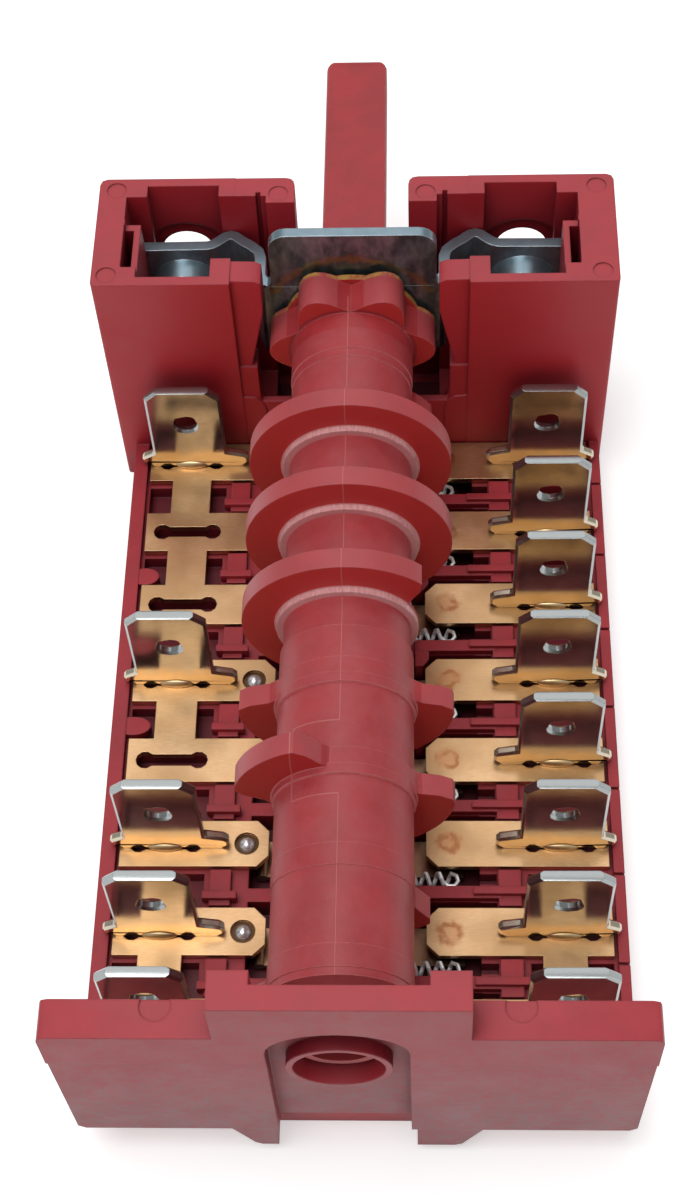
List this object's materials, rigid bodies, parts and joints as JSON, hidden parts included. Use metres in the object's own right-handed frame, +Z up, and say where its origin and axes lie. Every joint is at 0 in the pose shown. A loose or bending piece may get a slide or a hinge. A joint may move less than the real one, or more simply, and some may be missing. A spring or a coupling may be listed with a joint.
{
  "type": "rotary cam switch",
  "caption": "Open-frame rotary cam switch with a D spindle, blade terminals on both sides and a threaded steel mounting bracket.",
  "frame": {"origin": "middle of the bounding box's bottom, which is the underside of the housing", "axes": "+Y along the camshaft towards the spindle tip, +Z up from the underside, +X to the right when seen from the end plate"},
  "size_m": [0.0416, 0.0922, 0.0284],
  "materials": {
    "housing_red": "moulded red thermoset, satin",
    "camshaft_red": "moulded red thermoset, satin",
    "follower_red": "moulded red thermoset, satin",
    "zinc_steel": "bright zinc plate",
    "strip_brass": "bare rolled brass",
    "tab_tinned": "bright plated brass",
    "lever_copper": "bare copper alloy",
    "spring_steel": "bright wire"
  },
  "bodies": {
    "base": {"housing": "housing_red", "mounting_bracket": "zinc_steel", "detent_spring": "spring_steel", "common_strip_1_3": "strip_brass", "common_strip_4_5": "strip_brass", "common_strip_6": "strip_brass", "common_strip_7_8": "strip_brass", "contact_strip_1": "strip_brass", "contact_strip_2": "strip_brass", "contact_strip_3": "strip_brass", "contact_strip_4": "strip_brass", "contact_strip_5": "strip_brass", "contact_strip_6": "strip_brass", "contact_strip_7_8": "strip_brass", "left_tab_1": "tab_tinned", "left_tab_4": "tab_tinned", "left_tab_6": "tab_tinned", "left_tab_7": "tab_tinned", "left_tab_8": "tab_tinned", "right_tab_1": "tab_tinned", "right_tab_2": "tab_tinned", "right_tab_3": "tab_tinned", "right_tab_4": "tab_tinned", "right_tab_5": "tab_tinned", "right_tab_6": "tab_tinned", "right_tab_7": "tab_tinned", "right_tab_8": "tab_tinned", "lever_spring_1": "spring_steel", "lever_spring_2": "spring_steel", "lever_spring_3": "spring_steel", "lever_spring_4": "spring_steel", "lever_spring_5": "spring_steel", "lever_spring_6": "spring_steel", "lever_spring_7": "spring_steel", "lever_spring_8": "spring_steel"},
    "camshaft": {"camshaft": "camshaft_red"},
    "lever_1": {"contact_lever_1": "lever_copper", "cam_follower_1": "follower_red"},
    "lever_2": {"contact_lever_2": "lever_copper", "cam_follower_2": "follower_red"},
    "lever_3": {"contact_lever_3": "lever_copper", "cam_follower_3": "follower_red"},
    "lever_4": {"contact_lever_4": "lever_copper", "cam_follower_4": "follower_red"},
    "lever_5": {"contact_lever_5": "lever_copper", "cam_follower_5": "follower_red"},
    "lever_6": {"contact_lever_6": "lever_copper", "cam_follower_6": "follower_red"},
    "lever_7": {"contact_lever_7": "lever_copper", "cam_follower_7": "follower_red"},
    "lever_8": {"contact_lever_8": "lever_copper", "cam_follower_8": "follower_red"}
  },
  "joints": [
    {"name": "camshaft_turn", "type": "hinge", "parent": "base", "child": "camshaft", "pos_m": [-0.00035, 0, 0.0172], "axis": [0, 1, 0], "continuous": true, "deforming": ["detent_spring"]},
    {"name": "lever_1_close", "type": "hinge", "parent": "base", "child": "lever_1", "pos_m": [-0.00725, 0.01275, 0.0019], "axis": [0, -1, 0], "range_deg": [0, 2.9], "stiffness_Nm_per_rad": 0.02},
    {"name": "lever_2_close", "type": "hinge", "parent": "base", "child": "lever_2", "pos_m": [-0.00725, 0.0055, 0.0019], "axis": [0, -1, 0], "range_deg": [0, 2.9], "stiffness_Nm_per_rad": 0.02},
    {"name": "lever_3_close", "type": "hinge", "parent": "base", "child": "lever_3", "pos_m": [-0.00725, -0.00175, 0.0019], "axis": [0, -1, 0], "range_deg": [0, 2.9], "stiffness_Nm_per_rad": 0.02},
    {"name": "lever_4_close", "type": "hinge", "parent": "base", "child": "lever_4", "pos_m": [-0.00725, -0.009, 0.0019], "axis": [0, -1, 0], "range_deg": [0, 2.9], "stiffness_Nm_per_rad": 0.02},
    {"name": "lever_5_close", "type": "hinge", "parent": "base", "child": "lever_5", "pos_m": [-0.00725, -0.01625, 0.0019], "axis": [0, -1, 0], "range_deg": [0, 2.9], "stiffness_Nm_per_rad": 0.02},
    {"name": "lever_6_close", "type": "hinge", "parent": "base", "child": "lever_6", "pos_m": [-0.00725, -0.0235, 0.0019], "axis": [0, -1, 0], "range_deg": [0, 2.9], "stiffness_Nm_per_rad": 0.02},
    {"name": "lever_7_close", "type": "hinge", "parent": "base", "child": "lever_7", "pos_m": [-0.00725, -0.03075, 0.0019], "axis": [0, -1, 0], "range_deg": [0, 2.9], "stiffness_Nm_per_rad": 0.02},
    {"name": "lever_8_close", "type": "hinge", "parent": "base", "child": "lever_8", "pos_m": [-0.00725, -0.038, 0.0019], "axis": [0, -1, 0], "range_deg": [0, 2.9], "stiffness_Nm_per_rad": 0.02}
  ]
}
